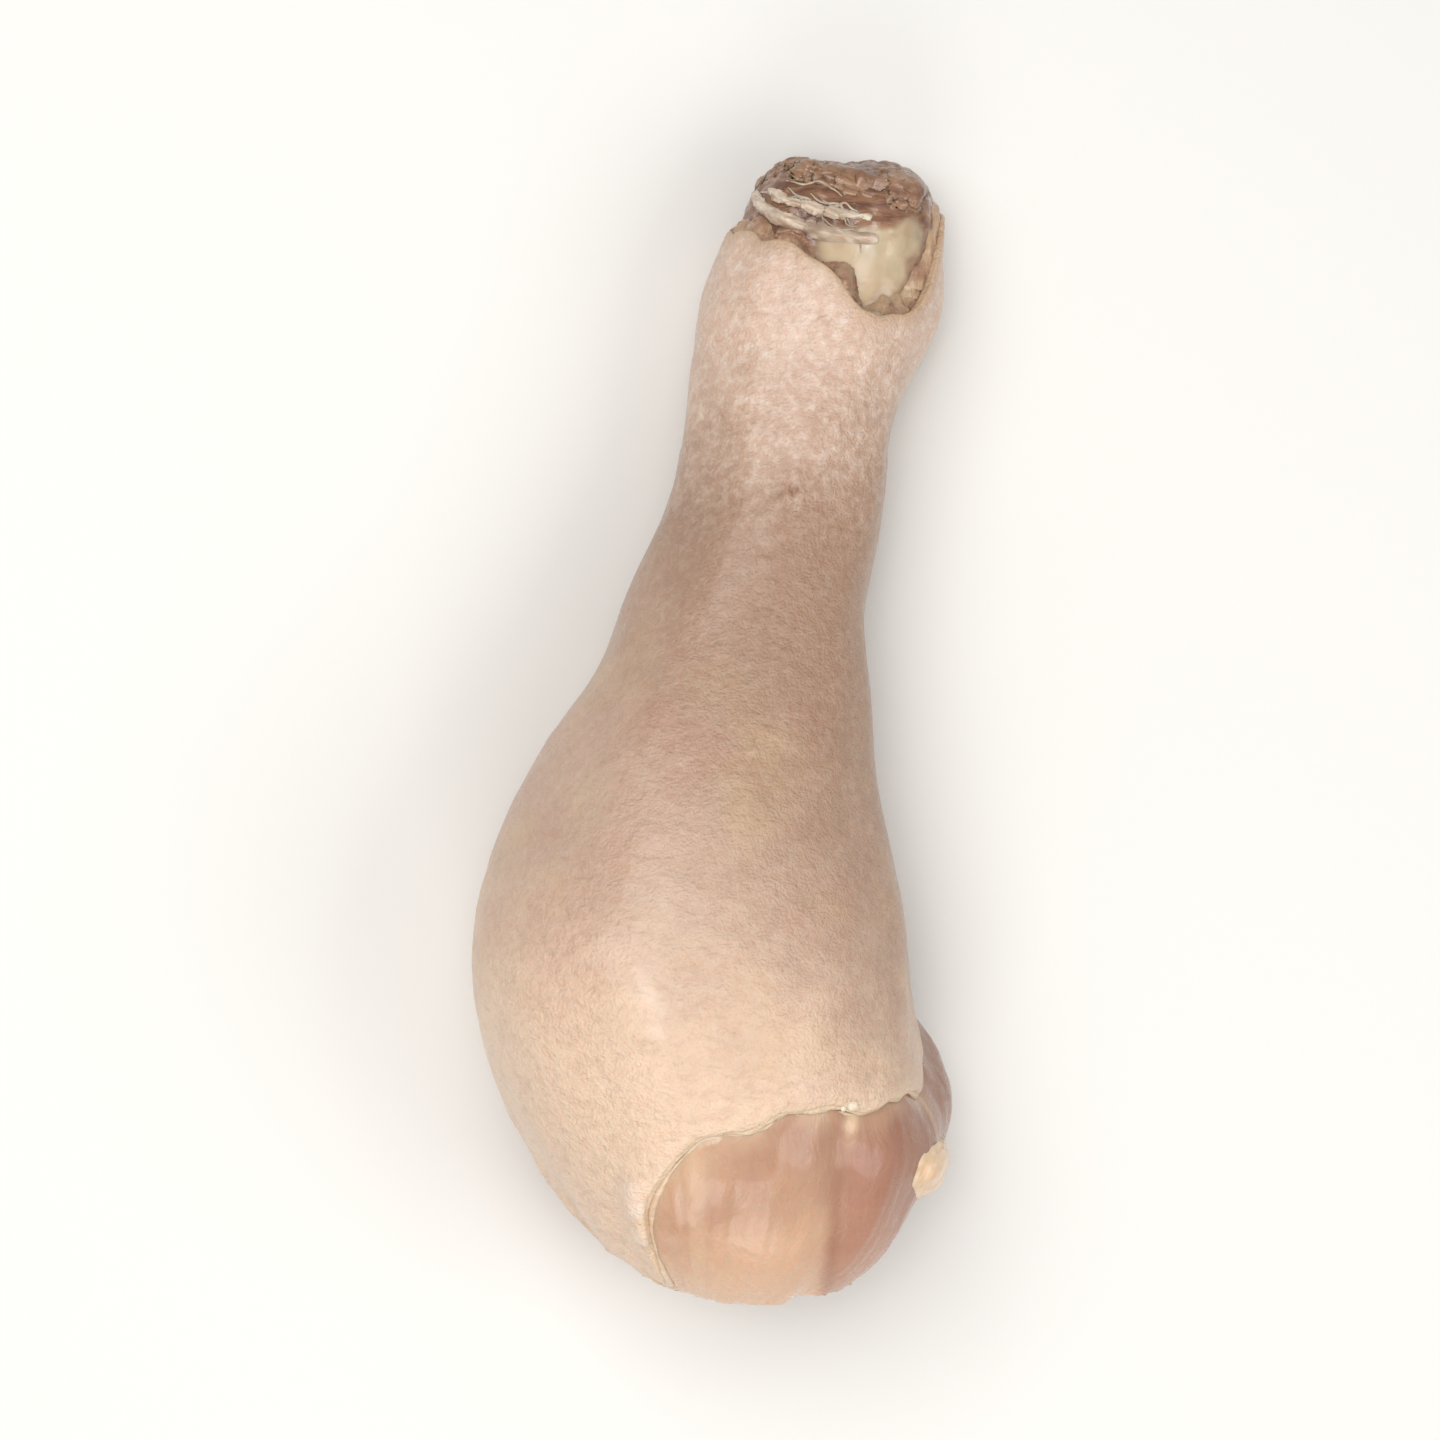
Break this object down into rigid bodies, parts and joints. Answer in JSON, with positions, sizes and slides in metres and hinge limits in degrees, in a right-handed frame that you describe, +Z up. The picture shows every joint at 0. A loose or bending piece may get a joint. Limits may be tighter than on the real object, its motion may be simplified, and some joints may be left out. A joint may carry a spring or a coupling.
{
  "type": "raw chicken drumstick",
  "caption": "Raw poultry drumstick lying on its side: pale skin drawn like a sleeve over bare muscle at the thick end and the jointed bone at the thin end.",
  "frame": {"origin": "middle of the leg's length and width, on the surface that it lies on", "axes": "+Y runs along the leg from the thick knee end to the thin hock end, +Z is up out of the surface, and the shin side faces +X"},
  "size_m": [0.0557, 0.1294, 0.0434],
  "materials": {
    "skin": "moist pale pink-beige skin with fine pores, soft sheen",
    "muscle": "wet raw muscle, orange-pink to dark pink",
    "cartilage": "wet pearly grey cartilage",
    "sinew": "wet brownish connective tissue",
    "tendon": "wet whitish tendon",
    "fat": "soft cream-yellow fat"
  },
  "bodies": {
    "root": {"skin": "skin", "meat": "muscle", "bone": "cartilage", "sinew": "sinew", "tendon_long": "tendon", "tendon_short": "tendon", "fat": "fat"}
  },
  "joints": []
}
